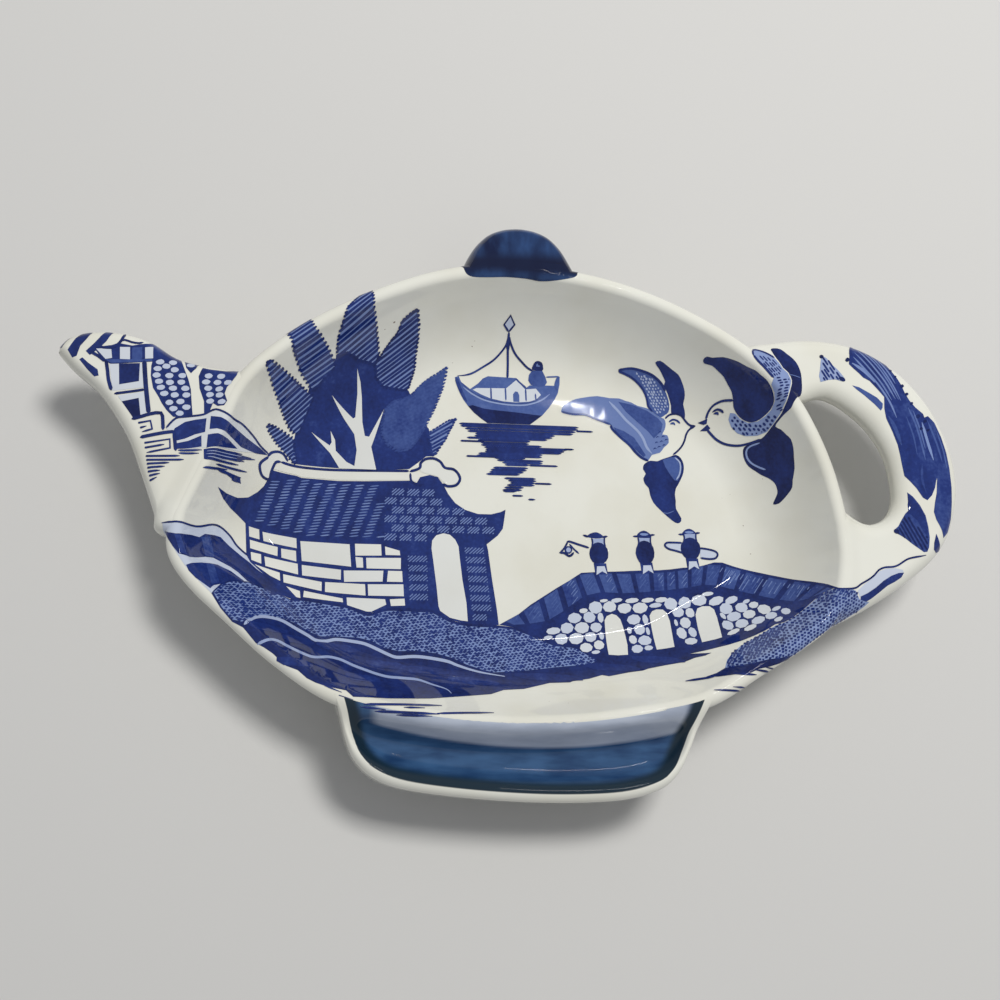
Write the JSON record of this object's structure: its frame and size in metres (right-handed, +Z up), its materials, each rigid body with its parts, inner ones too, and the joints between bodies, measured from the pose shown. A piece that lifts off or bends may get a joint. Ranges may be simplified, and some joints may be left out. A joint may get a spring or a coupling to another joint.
{
  "type": "tea bag rest",
  "caption": "Teapot-shaped glazed ceramic dish that holds a used tea bag, with spout, loop handle, lid knob, foot tray and a low standing ring.",
  "frame": {"origin": "on the table under the middle of the dish's length and width", "axes": "+X towards the handle, along the longest extent; +Y towards the lid knob; +Z up"},
  "size_m": [0.1356, 0.0866, 0.016],
  "materials": {
    "glazed_white": "glossy clear glaze over warm white clay",
    "painted_knob": "hand-brushed dark blue under a glossy glaze",
    "painted_foot": "hand-brushed mid blue under a glossy glaze",
    "bare_clay": "unglazed fired clay, matt"
  },
  "bodies": {
    "root": {"bowl": "glazed_white", "spout": "glazed_white", "handle": "glazed_white", "lid_knob": "painted_knob", "foot_tray": "painted_foot", "standing_ring": "bare_clay"}
  },
  "joints": []
}
